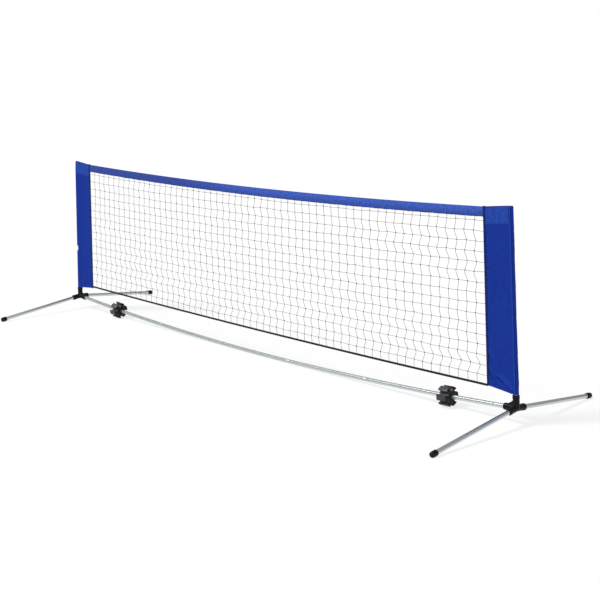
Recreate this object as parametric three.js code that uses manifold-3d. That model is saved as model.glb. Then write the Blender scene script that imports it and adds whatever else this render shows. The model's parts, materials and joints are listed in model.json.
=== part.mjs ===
// Portable badminton net in its low setting: a knock-down frame of steel tubes and plastic corner
// connectors, with a net whose cloth end panels slip over the two posts.
//
// Millimetres, +Z up, floor at Z = 0. The origin is on the floor under the middle of the net.
// +X runs along the net to its right end, +Y to the back. The pull of the net bows the frame, so
// the posts lean in at the top and the bottom bar is an arc that is lowest at mid-span.

import * as THREE from 'three';
import { mergeVertices } from 'three/addons/utils/BufferGeometryUtils.js';
import Module from 'manifold-3d';

const wasm = await Module();
wasm.setup();

// ---- driving dimensions ----

const HALF_SPAN = 1558; // middle of the net to the centre of a corner connector
const JUNCTION_HEIGHT = 70.5; // centre of a corner connector above the floor
const BAR_MID_HEIGHT = 10; // centre of the bottom bar above the floor at mid-span
const POST_LEAN = THREE.MathUtils.degToRad(3.7);
const LEG_REACH = 498; // connector's centre to the middle of a foot cap, along the floor
const FOOT_HEIGHT = 11.6; // centre of a foot cap above the floor

const TUBE_R = 9.5; // every tube is 19 mm
const TUBE_WALL = 1;
const SPIGOT_R = 8; // reduced end of a bar tube
const SPIGOT_LENGTH = 45;
const GAP = 0.3; // play between pieces that touch
const SIDES = 16; // sides of a round section

const BAR_JOINTS = [251, 754]; // joints of the bar, along its arc from mid-span

const SOCKET_R = 13.6; // outside of a connector's socket
const COLLAR_R = 14.4;
const COLLAR_LENGTH = 13;
const BORE_R = 10; // bores that take a tube
const POST_SOCKET = 52; // connector's centre to each socket's mouth
const BAR_SOCKET = 56;
const LEG_SOCKET = 50;
const SOCKET_FLOOR = 14; // connector's centre to the bottom of each bore

const WEB_THICK = 5; // webs that brace the connector's sockets
const POST_BAR_WEB = [[-2, 2], [-2, 37], [-12, 35], [-47, 11], [-47, 2]]; // seen from one side
const BAR_LEG_WEB = [[-4, 4], [-37, 9], [-9, 35]]; // seen from above, for the +Y leg
const BAR_LEG_WEB_HEIGHT = -3;

const CAP_LENGTH = 30; // foot cap
const CAP_BORE = 21;
const POST_CAP_RIM = 4; // height of the plug that shows above the end of the tube

const CLIP_PLACES = { left: -1167, right: 1212 }; // star clips, along the bar from mid-span
const CLIP_TURNS = { left: 43, right: 29 }; // degrees from +Y to each clip's first notch
const CLIP_R = 42.5;
const CLIP_LENGTH = 48;
const NOTCH_R = 9.7; // holds a tube
const NOTCH_CENTRE = 32.4; // clip's axis to a notch's axis
const MOUTH_WIDTH = 16; // a notch's mouth, narrower than a tube, so it snaps on
const CORE = { r: 6, place: 34.2, web: 8 }; // hole in each lobe, from both faces, and what is left

const SLEEVE_TOP = 789; // connector's centre to the top of the cloth, along the post
const SLEEVE_BOTTOM = 54.5;
const SLEEVE_R = 11.6; // outside of the pole pocket
const SEAM = 19; // post's axis to the pocket's seam
const CLOTH = 2.4; // thickness of a panel
const PANEL_TOP = { v: 129.5, w: 784 }; // panel's inner corners: v inwards from the post, w up it
const PANEL_BOTTOM = { v: 138.5, w: 73 };
const TOP_LEVEL_TO = 14; // post's axis to where the top edge starts to fall
const PANEL_FOLD = 62; // post's axis to where the cloth starts to slope to the pocket's front
const BINDING_WIDTH = 9.5;
const BINDING_THICK = 3.8;
const PATCH_HEIGHT = 68;
const PATCH_NEAR = 3; // post's axis to the patch's outer edge
const PATCH_THICK = 0.8;
const LABEL = { width: 9, height: 28, thick: 0.6, inwards: 2, above: 287 }; // on the pocket's front

const BAND_HEIGHT = 39.5;
const BAND_THICK = 3.2;
const BAND_SAG = 24.7;
const NETTING_THICK = 0.5; // about as much matter as its threads
const CORD_R = 5;
const CORD_END_HEIGHT = 139;
const CORD_TILT = 3.9; // the left end is higher by this, and the right end lower
const CORD_SAG = 11;

// ---- worked out from them ----

const BAR_RISE = JUNCTION_HEIGHT - BAR_MID_HEIGHT;
const BAR_RADIUS = (HALF_SPAN ** 2 + BAR_RISE ** 2) / (2 * BAR_RISE);
const BAR_END_ANGLE = Math.asin(HALF_SPAN / BAR_RADIUS);
const BAR_END = BAR_RADIUS * BAR_END_ANGLE - SOCKET_FLOOR - 2;
const LEG_SLOPE = Math.atan((JUNCTION_HEIGHT - FOOT_HEIGHT) / LEG_REACH);
const LEG_LENGTH = Math.hypot(JUNCTION_HEIGHT - FOOT_HEIGHT, LEG_REACH);
const POST_CAP_TOP = SLEEVE_TOP - 4;
const PANEL_SLOPE = Math.asin((SLEEVE_R - CLOTH / 2) / PANEL_FOLD);
const POST_TOP = POST_CAP_TOP - POST_CAP_RIM - GAP;

const steel = new THREE.MeshStandardMaterial({ color: 0xc9ccd0, roughness: 0.28, metalness: 1 });
const plastic = new THREE.MeshStandardMaterial({ color: 0x17171a, roughness: 0.45, metalness: 0 });
const blueCloth = new THREE.MeshStandardMaterial({ color: 0x20389b, roughness: 0.85, metalness: 0 });
const bandCloth = new THREE.MeshStandardMaterial({ color: 0x3450ac, roughness: 0.8, metalness: 0 });
const navyTape = new THREE.MeshStandardMaterial({ color: 0x121c52, roughness: 0.85, metalness: 0 });
const blackCord = new THREE.MeshStandardMaterial({ color: 0x141416, roughness: 0.8, metalness: 0 });
const netThread = new THREE.MeshStandardMaterial({ color: 0x2c2c2e, roughness: 0.9, metalness: 0 });
const whiteLabel = new THREE.MeshStandardMaterial({ color: 0xe9ecf2, roughness: 0.7, metalness: 0 });

const net = new THREE.Group();

// ---- helpers ----

function piece(name, geometry, material, parent = net) {
  const mesh = new THREE.Mesh(geometry, material);
  mesh.name = name;
  parent.add(mesh);
  return mesh;
}

function solid(geometry) {
  const bare = geometry.clone();
  bare.deleteAttribute('normal');
  bare.deleteAttribute('uv');
  const merged = mergeVertices(bare);
  return new wasm.Manifold(new wasm.Mesh({
    numProp: 3,
    vertProperties: new Float32Array(merged.attributes.position.array),
    triVerts: new Uint32Array(merged.index.array),
  }));
}

function geometryOf(manifold) {
  const mesh = manifold.getMesh();
  const geometry = new THREE.BufferGeometry();
  geometry.setAttribute('position', new THREE.BufferAttribute(mesh.vertProperties, 3));
  geometry.setIndex(new THREE.BufferAttribute(mesh.triVerts, 1));
  return geometry;
}

function points(pairs) {
  return pairs.map(([a, b]) => new THREE.Vector2(a, b));
}

// A body of revolution about +Z. The profile is a list of [radius, height] and runs clockwise.
function turned(profile, sides = SIDES) {
  const geometry = new THREE.LatheGeometry(points(profile), sides);
  geometry.rotateX(Math.PI / 2);
  return geometry;
}

// A prism of an outline given as [a, b] pairs, its thickness centred on the outline's plane.
function plate(outline, thickness, holes = []) {
  const shape = new THREE.Shape(points(outline));
  shape.holes = holes.map((hole) => new THREE.Path(points(hole)));
  const geometry = new THREE.ExtrudeGeometry(shape, { depth: thickness, bevelEnabled: false });
  geometry.translate(0, 0, -thickness / 2);
  return geometry;
}

// A plate that stands upright: the outline's first value runs along X and its second along Z.
function uprightPlate(outline, thickness) {
  return plate(outline, thickness).rotateX(Math.PI / 2);
}

function arc(centre, radius, from, to, steps) {
  return Array.from({ length: steps + 1 }, (_, i) => {
    const angle = from + ((to - from) * i) / steps;
    return [centre[0] + radius * Math.cos(angle), centre[1] + radius * Math.sin(angle)];
  });
}

function spaced(from, to, steps) {
  return Array.from({ length: steps + 1 }, (_, i) => from + ((to - from) * i) / steps);
}

function rod(radius, from, to, sides = SIDES) {
  return turned([[0, from], [radius, from], [radius, to], [0, to]], sides);
}

// Turns a shape that lies along +Z to lie along a direction.
function aim(geometry, direction) {
  const turn = new THREE.Quaternion().setFromUnitVectors(new THREE.Vector3(0, 0, 1), direction);
  return geometry.applyQuaternion(turn);
}

// ---- bottom bar ----

// Where a point of the bar's arc is, and which way the bar runs there.
function barFrame(along) {
  const angle = along / BAR_RADIUS;
  return {
    centre: new THREE.Vector3(
      BAR_RADIUS * Math.sin(angle),
      0,
      BAR_MID_HEIGHT + BAR_RADIUS * (1 - Math.cos(angle)),
    ),
    run: new THREE.Vector3(Math.cos(angle), 0, Math.sin(angle)),
    down: new THREE.Vector3(Math.sin(angle), 0, -Math.cos(angle)),
  };
}

// Bends a shape that lies along +Z onto the bar's arc, height along Z becoming length along it.
function bendToBar(geometry) {
  const position = geometry.attributes.position;
  for (let i = 0; i < position.count; i += 1) {
    const frame = barFrame(position.getZ(i));
    const point = frame.centre.clone().addScaledVector(frame.down, position.getX(i));
    point.y += position.getY(i);
    position.setXYZ(i, point.x, point.y, point.z);
  }
  return geometry;
}

// One tube of the bar. Its spigot, if it has one, goes into the next tube towards mid-span.
function barTube(from, to, steps, hasSpigot) {
  const outside = spaced(from, to, steps).map((along) => [TUBE_R, along]);
  const inside = spaced(to, from, steps).map((along) => [TUBE_R - TUBE_WALL, along]);
  if (!hasSpigot) {
    return bendToBar(turned([...outside, ...inside, outside[0]]));
  }
  const spigot = [
    [SPIGOT_R - TUBE_WALL, from + 2],
    [SPIGOT_R - TUBE_WALL, from - SPIGOT_LENGTH],
    [SPIGOT_R, from - SPIGOT_LENGTH],
    [SPIGOT_R, from],
  ];
  const bore = inside.slice(0, -1).concat([[TUBE_R - TUBE_WALL, from + 2]]);
  return bendToBar(turned([...outside, ...bore, ...spigot, outside[0]]));
}

function addBar() {
  const [inner, outer] = BAR_JOINTS;
  piece('bar_tube_middle', barTube(-inner, inner, 4, false), steel);
  for (const side of ['left', 'right']) {
    const half = new THREE.Group();
    half.rotation.z = side === 'left' ? Math.PI : 0;
    net.add(half);
    piece(`bar_tube_inner_${side}`, barTube(inner + GAP, outer, 4, true), steel, half);
    piece(`bar_tube_outer_${side}`, barTube(outer + GAP, BAR_END, 6, true), steel, half);
  }
}

// ---- star clips ----

// One sixth of a clip's outline: half of a lobe's end, a notch with its mouth, half of the next.
function clipSixth(turn) {
  const lobeHalf = Math.PI / 6;
  const lipHalf = Math.asin(MOUTH_WIDTH / 2 / CLIP_R);
  const throat = Math.asin(MOUTH_WIDTH / 2 / NOTCH_R);
  const notchAxis = [NOTCH_CENTRE * Math.cos(turn), NOTCH_CENTRE * Math.sin(turn)];
  return [
    ...arc([0, 0], CLIP_R, turn - lobeHalf, turn - lipHalf, 2),
    ...arc(notchAxis, NOTCH_R, turn - throat, turn + throat - 2 * Math.PI, 9),
    ...arc([0, 0], CLIP_R, turn + lipHalf, turn + lobeHalf, 2).slice(0, -1),
  ];
}

// The moulding is cored out from both faces, with a hole in each lobe and a web between them.
function starClip(side) {
  const first = THREE.MathUtils.degToRad(CLIP_TURNS[side]);
  const sixths = [0, 1, 2, 3, 4, 5].map((k) => first + (k * Math.PI) / 3);
  const outline = sixths.flatMap(clipSixth);
  const bore = arc([0, 0], BORE_R + 0.1, 0, 2 * Math.PI, SIDES).slice(0, -1);
  let clip = solid(plate(outline, CLIP_LENGTH, [bore]));
  const face = CLIP_LENGTH / 2 + 1;
  for (const turn of sixths) {
    const lobe = turn + Math.PI / 6;
    for (const [low, high] of [[-face, -CORE.web / 2], [CORE.web / 2, face]]) {
      const hole = rod(CORE.r, low, high, 10);
      hole.translate(CORE.place * Math.cos(lobe), CORE.place * Math.sin(lobe), 0);
      clip = clip.subtract(solid(hole));
    }
  }
  return geometryOf(clip);
}

// A clip's outline is drawn in a plane that stands across the bar, Y to its right and Z up.
function addClips() {
  for (const side of ['left', 'right']) {
    const frame = barFrame(CLIP_PLACES[side]);
    const clip = piece(`star_clip_${side}`, starClip(side), plastic);
    const up = frame.down.clone().negate();
    const across = new THREE.Vector3(0, 1, 0);
    clip.position.copy(frame.centre);
    clip.quaternion.setFromRotationMatrix(new THREE.Matrix4().makeBasis(across, up, frame.run));
  }
}

// ---- corner connectors, posts and legs ----

// Directions in an end's own frame: X outwards, Y to one side, Z up the leaning post.
const POST_WAY = new THREE.Vector3(0, 0, 1);
const BAR_TILT = BAR_END_ANGLE - POST_LEAN;
const BAR_WAY = new THREE.Vector3(-Math.cos(BAR_TILT), 0, -Math.sin(BAR_TILT));
const LEG_WAYS = [-1, 1].map((way) => (
  new THREE.Vector3(0, way * Math.cos(LEG_SLOPE), -Math.sin(LEG_SLOPE))
));

function socketForm(length) {
  return turned([
    [0, 0],
    [SOCKET_R, 0],
    [SOCKET_R, length - COLLAR_LENGTH - 1],
    [COLLAR_R, length - COLLAR_LENGTH],
    [COLLAR_R, length - 1.5],
    [COLLAR_R - 1.5, length],
    [0, length],
  ]);
}

function connector() {
  const sockets = [
    [POST_WAY, POST_SOCKET],
    [BAR_WAY, BAR_SOCKET],
    ...LEG_WAYS.map((way) => [way, LEG_SOCKET]),
  ];
  let body = solid(new THREE.SphereGeometry(COLLAR_R, SIDES, 8));
  for (const [way, length] of sockets) {
    body = body.add(solid(aim(socketForm(length), way)));
  }
  body = body.add(solid(uprightPlate([...POST_BAR_WEB].reverse(), WEB_THICK)));
  for (const turn of [0, Math.PI]) {
    const web = plate([...BAR_LEG_WEB].reverse(), WEB_THICK).rotateX(turn);
    body = body.add(solid(web.translate(0, 0, BAR_LEG_WEB_HEIGHT)));
  }
  for (const [way, length] of sockets) {
    body = body.subtract(solid(aim(rod(BORE_R, SOCKET_FLOOR, length + 5), way)));
  }
  return geometryOf(body);
}

function tube(from, to) {
  const inner = TUBE_R - TUBE_WALL;
  return turned([[TUBE_R, from], [TUBE_R, to], [inner, to], [inner, from], [TUBE_R, from]]);
}

// A plug that closes the top of a post: a low dome on a short spigot.
function postCap() {
  return turned([
    [0, POST_CAP_TOP - 20],
    [SPIGOT_R, POST_CAP_TOP - 20],
    [SPIGOT_R, POST_CAP_TOP - POST_CAP_RIM],
    [TUBE_R + 0.2, POST_CAP_TOP - POST_CAP_RIM],
    [TUBE_R + 0.2, POST_CAP_TOP - 2],
    [6, POST_CAP_TOP],
    [0, POST_CAP_TOP],
  ]);
}

function footCap() {
  return turned([
    [0, CAP_BORE],
    [BORE_R, CAP_BORE],
    [BORE_R, 0],
    [10.9, 0],
    [12, 1.2],
    [12.6, 5],
    [12.6, 18],
    [12.2, 23.5],
    [10.4, 28],
    [6.5, CAP_LENGTH],
    [0, CAP_LENGTH],
  ]);
}

// Cuts the underside of a foot cap level, so that it stands on the floor.
function cutAtFloor(geometry, holder) {
  holder.updateWorldMatrix(true, false);
  const place = new THREE.Vector3().setFromMatrixPosition(holder.matrixWorld);
  const below = new THREE.BoxGeometry(120, 120, 40);
  below.translate(place.x, place.y, -20);
  below.applyMatrix4(holder.matrixWorld.clone().invert());
  return geometryOf(solid(geometry).subtract(solid(below)));
}

function addLeg(end, way, name) {
  const leg = new THREE.Group();
  leg.quaternion.setFromUnitVectors(POST_WAY, way);
  end.add(leg);
  const capStart = LEG_LENGTH - CAP_LENGTH / 2;
  const tubeEnd = capStart + CAP_BORE - GAP;
  piece(`leg_tube_${name}`, tube(SOCKET_FLOOR + GAP, tubeEnd), steel, leg);
  const holder = new THREE.Group();
  holder.position.z = capStart;
  leg.add(holder);
  piece(`foot_cap_${name}`, cutAtFloor(footCap(), holder), plastic, holder);
}

// ---- cloth panels ----

// The panel's inner edge, moved outwards by a distance: [v, w] at a fraction from bottom to top.
function innerEdge(fraction, back) {
  const v = PANEL_BOTTOM.v + (PANEL_TOP.v - PANEL_BOTTOM.v) * fraction - back;
  const w = PANEL_BOTTOM.w + (PANEL_TOP.w - PANEL_BOTTOM.w) * fraction;
  return [-v, w];
}

// Height up the post of the panel's top edge, at a distance inwards from the post.
function topEdge(v) {
  const share = (v - TOP_LEVEL_TO) / (PANEL_TOP.v - TOP_LEVEL_TO);
  return SLEEVE_TOP + (PANEL_TOP.w - SLEEVE_TOP) * Math.max(0, share);
}

// How far in front of the net's plane the middle of a panel's front layer is.
function frontOf(v) {
  return (PANEL_FOLD - v) * Math.tan(PANEL_SLOPE);
}

// An outline of [v, distance to the front], as seen from above. Both ends' fronts face -Y.
function fromAbove(outline, side, low, high) {
  const facing = side === 'left' ? 1 : -1;
  const turned = outline.map(([v, front]) => [-v, facing * front]);
  return solid(plate(turned, high - low).translate(0, 0, (low + high) / 2));
}

// The front layer, flat from the inner edge to the fold and then straight to the pocket's front.
function layer(side, half, near) {
  const far = PANEL_BOTTOM.v + 5;
  const reach = half / Math.cos(PANEL_SLOPE);
  const outline = [
    [near, frontOf(near) - reach],
    [near, frontOf(near) + reach],
    [PANEL_FOLD, half],
    [far, half],
    [far, -half],
    [PANEL_FOLD, -half],
  ];
  return fromAbove(outline, side, 0, SLEEVE_TOP + 5);
}

// The cloth's front and the pocket round the post, sewn behind and closed over the post's top.
function panel(side) {
  const back = BINDING_WIDTH + GAP;
  const flat = uprightPlate([
    [-TOP_LEVEL_TO, SLEEVE_BOTTOM],
    [-TOP_LEVEL_TO, SLEEVE_TOP],
    innerEdge(1, back),
    innerEdge(0, back),
    [-SEAM, SLEEVE_BOTTOM],
  ], 60);
  const reach = CLOTH / 2 / Math.cos(PANEL_SLOPE);
  const seam = [SEAM, frontOf(SEAM) - reach];
  const away = Math.hypot(...seam);
  const behind = Math.atan2(seam[1], seam[0]) - Math.acos(SLEEVE_R / away) + 2 * Math.PI;
  const pocket = fromAbove([
    seam,
    [SEAM, frontOf(SEAM) + reach],
    ...arc([0, 0], SLEEVE_R, Math.PI / 2 - PANEL_SLOPE, behind, 12),
  ], side, SLEEVE_BOTTOM, SLEEVE_TOP);
  const bore = rod(BORE_R + 0.1, SLEEVE_BOTTOM - 5, SLEEVE_TOP - 3.5);
  const front = layer(side, CLOTH / 2, 12).intersect(solid(flat));
  return geometryOf(front.add(pocket).subtract(solid(bore)));
}

// A doubling of the cloth, folded over the panel's top edge. Behind, it stops at the seam.
function patch(side) {
  const [near, far] = [PATCH_NEAR, PANEL_TOP.v - BINDING_WIDTH - 2 * GAP];
  const outline = (low, high, more) => {
    const across = [near - more, TOP_LEVEL_TO, far + more];
    const top = across.map((v) => [-v, topEdge(v) + high]);
    const bottom = across.map((v) => [-v, topEdge(v) + low]);
    return solid(uprightPlate([...top, ...bottom.reverse()], 60));
  };
  const inner = CLOTH / 2 + GAP;
  const whole = layer(side, inner + PATCH_THICK, near).intersect(outline(-PATCH_HEIGHT, GAP + PATCH_THICK, 0));
  const room = layer(side, inner, near - 10).intersect(outline(-PATCH_HEIGHT - 5, GAP, 20));
  const stop = SEAM + 3;
  const behind = fromAbove([
    [near - 10, frontOf(near - 10)],
    [stop, frontOf(stop)],
    [stop, -30],
    [near - 10, -30],
  ], side, 0, SLEEVE_TOP + GAP);
  return geometryOf(whole.subtract(room).subtract(behind));
}

// Tape folded over the panel's inner edge, which the netting is sewn to.
function binding() {
  const outline = [
    innerEdge(0, 0),
    innerEdge(0, BINDING_WIDTH),
    innerEdge(1, BINDING_WIDTH),
    innerEdge(1, 0),
  ];
  return uprightPlate(outline, BINDING_THICK);
}

// A blank care label on the front of the left pocket.
function addLabel(end) {
  const { width, height, thick, inwards, above } = LABEL;
  const slope = new THREE.Group();
  slope.rotation.z = PANEL_SLOPE;
  end.add(slope);
  const label = piece('care_label', new THREE.BoxGeometry(width, thick, height), whiteLabel, slope);
  label.position.set(-inwards, SLEEVE_R + thick / 2 + GAP + 0.2, above);
}

// Everything at one end. The left end is the right end turned about Z, front to back.
function addEnd(side) {
  const turn = new THREE.Group();
  turn.rotation.z = side === 'left' ? Math.PI : 0;
  net.add(turn);
  const end = new THREE.Group();
  end.position.set(HALF_SPAN, 0, JUNCTION_HEIGHT);
  end.rotation.y = -POST_LEAN;
  turn.add(end);
  piece(`connector_${side}`, connector(), plastic, end);
  piece(`post_${side}`, tube(SOCKET_FLOOR + GAP, POST_TOP), steel, end);
  piece(`post_cap_${side}`, postCap(), plastic, end);
  const facing = side === 'left' ? ['back', 'front'] : ['front', 'back'];
  LEG_WAYS.forEach((way, i) => addLeg(end, way, `${facing[i]}_${side}`));
  piece(`panel_${side}`, panel(side), blueCloth, end);
  piece(`patch_${side}`, patch(side), blueCloth, end);
  piece(`binding_${side}`, binding(), navyTape, end);
  if (side === 'left') {
    addLabel(end);
  }
}

// ---- band, netting and bottom cord, between the two panels ----

// A point of the right end's frame, in the net's own plane.
function inPlane([x, z]) {
  const point = new THREE.Vector3(x, 0, z).applyAxisAngle(new THREE.Vector3(0, 1, 0), -POST_LEAN);
  return [HALF_SPAN + point.x, JUNCTION_HEIGHT + point.z];
}

const EDGE_TOP = inPlane(innerEdge(1, 0));
const EDGE_BOTTOM = inPlane(innerEdge(0, 0));

// Half the clear width between the panels at a height, with a gap at each side.
function halfWidth(height) {
  const share = (height - EDGE_BOTTOM[1]) / (EDGE_TOP[1] - EDGE_BOTTOM[1]);
  return EDGE_BOTTOM[0] + (EDGE_TOP[0] - EDGE_BOTTOM[0]) * share - GAP;
}

function bandTop(x) {
  return EDGE_TOP[1] - BAND_SAG * (1 - (x / EDGE_TOP[0]) ** 2);
}

function cordHeight(x) {
  const share = x / EDGE_BOTTOM[0];
  return CORD_END_HEIGHT - CORD_TILT * share - CORD_SAG * (1 - share ** 2);
}

// Points from one panel to the other, at a height that varies along them.
function acrossNet(heightAt, steps, above = 0) {
  const left = halfWidth(heightAt(-EDGE_BOTTOM[0]) + above);
  const right = halfWidth(heightAt(EDGE_BOTTOM[0]) + above);
  return spaced(-left, right, steps).map((x) => [x, heightAt(x)]);
}

function band() {
  const steps = 20;
  const bottom = acrossNet((x) => bandTop(x) - BAND_HEIGHT, steps);
  return uprightPlate([...acrossNet(bandTop, steps), ...bottom.reverse()].reverse(), BAND_THICK);
}

function netting() {
  const steps = 20;
  const top = acrossNet((x) => bandTop(x) - BAND_HEIGHT - GAP, steps);
  const bottom = acrossNet((x) => cordHeight(x) + CORD_R + GAP, steps);
  return uprightPlate([...top, ...bottom.reverse()].reverse(), NETTING_THICK);
}

function bottomCord() {
  const route = new THREE.CatmullRomCurve3(
    acrossNet(cordHeight, 8, CORD_R).map(([x, z]) => new THREE.Vector3(x, 0, z)),
  );
  const section = new THREE.Shape(points(arc([0, 0], CORD_R, 0, 2 * Math.PI, 8).slice(0, -1)));
  return new THREE.ExtrudeGeometry(section, { steps: 20, extrudePath: route, bevelEnabled: false });
}

addBar();
addClips();
addEnd('left');
addEnd('right');
piece('top_band', band(), bandCloth);
piece('netting', netting(), netThread);
piece('bottom_cord', bottomCord(), blackCord);

export default net;
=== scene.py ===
"""Portable badminton net: fine tubes, mouldings, sewn cloth and knotted netting round its frame.

Metres, +Z up, floor at Z = 0. The origin is on the floor under the middle of the net, +X runs along
the net to its right end and +Y to the back.
"""

import json
import math
import random

import bpy
import numpy as np
from mathutils import Matrix, Vector, noise
from mathutils.geometry import tessellate_polygon


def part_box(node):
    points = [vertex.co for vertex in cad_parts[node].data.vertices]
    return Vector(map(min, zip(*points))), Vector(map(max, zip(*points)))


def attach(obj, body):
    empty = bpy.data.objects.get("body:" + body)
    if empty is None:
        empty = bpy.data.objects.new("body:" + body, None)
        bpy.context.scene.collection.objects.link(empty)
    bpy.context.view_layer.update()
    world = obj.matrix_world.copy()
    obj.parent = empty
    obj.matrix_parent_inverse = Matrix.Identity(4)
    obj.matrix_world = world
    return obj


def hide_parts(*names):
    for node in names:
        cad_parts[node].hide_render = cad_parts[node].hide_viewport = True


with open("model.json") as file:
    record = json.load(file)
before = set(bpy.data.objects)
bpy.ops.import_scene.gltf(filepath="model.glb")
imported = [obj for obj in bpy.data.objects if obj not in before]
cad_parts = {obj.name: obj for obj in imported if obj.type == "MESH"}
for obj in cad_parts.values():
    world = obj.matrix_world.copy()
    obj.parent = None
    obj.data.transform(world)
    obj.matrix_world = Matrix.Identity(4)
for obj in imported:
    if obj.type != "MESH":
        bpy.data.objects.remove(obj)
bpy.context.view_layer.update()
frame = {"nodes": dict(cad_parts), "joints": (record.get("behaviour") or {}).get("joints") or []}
MM = 0.001
TURN = 2 * math.pi
SIDES = ("left", "right")
OUTWARD = {"left": -1, "right": 1}

# ---- the frame's own dimensions ----

HALF_SPAN = 1558 * MM
JUNCTION_HEIGHT = 70.5 * MM
BAR_MID_HEIGHT = 10 * MM
POST_LEAN = math.radians(3.7)
LEG_REACH = 498 * MM
FOOT_HEIGHT = 11.6 * MM
TUBE_R = 9.5 * MM
TUBE_WALL = 1 * MM
SPIGOT_R = 8 * MM
SPIGOT_LENGTH = 45 * MM
GAP = 0.3 * MM
BAR_JOINTS = (251 * MM, 754 * MM)
SOCKET_R = 13.6 * MM
COLLAR_R = 14.4 * MM
COLLAR_LENGTH = 13 * MM
BORE_R = 10 * MM
POST_SOCKET = 52 * MM
BAR_SOCKET = 56 * MM
LEG_SOCKET = 50 * MM
SOCKET_FLOOR = 14 * MM
CAP_LENGTH = 30 * MM
CAP_BORE = 21 * MM
CLIP_TURNS = {"left": math.radians(43), "right": math.radians(29)}
CLIP_R = 42.5 * MM
CLIP_BORE_R = 10.1 * MM
CLIP_LENGTH = 48 * MM
NOTCH_R = 9.7 * MM
NOTCH_CENTRE = 32.4 * MM
MOUTH_WIDTH = 16 * MM
CORE_R = 6 * MM
CORE_PLACE = 34.2 * MM
CORE_WEB = 8 * MM
SLEEVE_TOP = 789 * MM
SLEEVE_BOTTOM = 54.5 * MM
SEAM = 19 * MM
PANEL_TOP = (129.5 * MM, 784 * MM)
PANEL_BOTTOM = (138.5 * MM, 73 * MM)
TOP_LEVEL_TO = 14 * MM
PANEL_FOLD = 62 * MM
BINDING_WIDTH = 9.5 * MM
PATCH_HEIGHT = 68 * MM
PATCH_NEAR = 3 * MM
BAND_HEIGHT = 39.5 * MM
BAND_SAG = 24.7 * MM
CORD_R = 5 * MM
CORD_END_HEIGHT = 139 * MM
CORD_TILT = 3.9 * MM
CORD_SAG = 11 * MM
POST_TOP = SLEEVE_TOP - 8.3 * MM

BAR_RISE = JUNCTION_HEIGHT - BAR_MID_HEIGHT
BAR_RADIUS = (HALF_SPAN ** 2 + BAR_RISE ** 2) / (2 * BAR_RISE)
BAR_END_ANGLE = math.asin(HALF_SPAN / BAR_RADIUS)
BAR_END = BAR_RADIUS * BAR_END_ANGLE - SOCKET_FLOOR - 2 * MM
LEG_SLOPE = math.atan((JUNCTION_HEIGHT - FOOT_HEIGHT) / LEG_REACH)
LEG_LENGTH = math.hypot(JUNCTION_HEIGHT - FOOT_HEIGHT, LEG_REACH)
JOINTS = {joint["name"]: joint for joint in frame["joints"]}

# ---- camera ----

SENSOR_WIDTH = 36
CAMERA_PLACE = (4.0943, -3.4999, 1.4322)
CAMERA_HEADING = 47.083  # degrees from +Y towards -X
CAMERA_PITCH = -12.203
CAMERA_ROLL = -0.950
CAMERA_LENS = 68.264


def add_camera():
    camera = bpy.data.objects.new("camera", bpy.data.cameras.new("camera"))
    camera.data.lens = CAMERA_LENS
    camera.data.sensor_width = SENSOR_WIDTH
    turn = (Matrix.Rotation(math.radians(CAMERA_HEADING), 4, "Z")
            @ Matrix.Rotation(math.radians(90 + CAMERA_PITCH), 4, "X")
            @ Matrix.Rotation(math.radians(CAMERA_ROLL), 4, "Z"))
    camera.matrix_world = Matrix.Translation(CAMERA_PLACE) @ turn
    bpy.context.scene.collection.objects.link(camera)
    bpy.context.scene.camera = camera


add_camera()
bpy.context.scene.view_settings.view_transform = "Standard"

# ---- mesh helpers ----

TUBE_SIDES = 40
SOCKET_SIDES = 48


def mix(a, b, share):
    return a + (b - a) * share


def smooth(low, high, value):
    share = np.clip((value - low) / (high - low), 0, 1)
    return share * share * (3 - 2 * share)


def wobble(x, y=0.0, seed=0.0):
    """Smooth noise between about -1 and 1, the same each run."""
    return 2 * noise.noise((x, y, seed * 7.31 + 0.5))


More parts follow.
